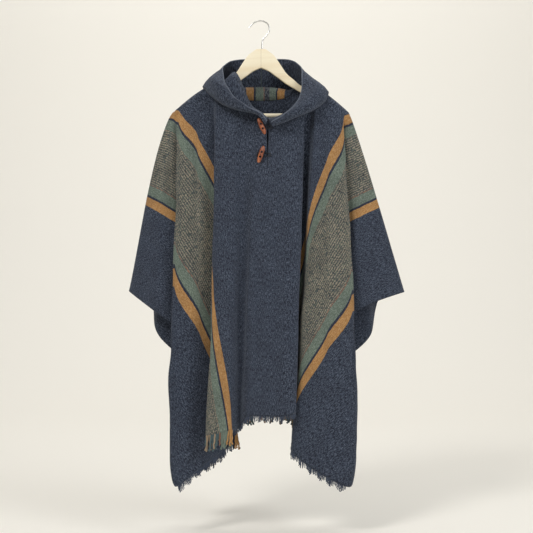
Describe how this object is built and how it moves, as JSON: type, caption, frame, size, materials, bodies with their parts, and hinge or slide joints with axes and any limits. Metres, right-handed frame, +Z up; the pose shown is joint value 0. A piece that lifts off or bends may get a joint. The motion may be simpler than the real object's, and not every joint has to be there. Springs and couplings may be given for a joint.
{
  "type": "hooded wool poncho on a wooden clothes hanger",
  "caption": "Hooded striped wool poncho with fringed hems and a toggled neck slit, hung over a wooden hanger with a bar and a wire hook.",
  "frame": {"origin": "where a round rod touches the inside of the hook's top", "axes": "+Z up, -Y out of the poncho's front with the slit and the toggles, +X to the right as seen from the front, along the hanger's bar"},
  "size_m": [0.7027, 0.2263, 1.2053],
  "materials": {
    "navy_heather_wool": "brushed, woven",
    "striped_wool_fringe": "twisted yarn",
    "birch_wood": "satin lacquer",
    "red_brown_wood": "satin",
    "dark_cord": "braided",
    "plated_wire": "polished"
  },
  "bodies": {
    "root": {"front_panel": "navy_heather_wool", "back_panel": "navy_heather_wool", "hood_right": "navy_heather_wool", "hood_left": "navy_heather_wool", "fringe_front": "striped_wool_fringe", "fringe_back": "striped_wool_fringe", "toggle_upper": "red_brown_wood", "toggle_lower": "red_brown_wood", "loop_upper": "dark_cord", "loop_lower": "dark_cord", "hanger_body": "birch_wood", "hanger_bar": "birch_wood", "hanger_hook": "plated_wire"}
  },
  "joints": []
}
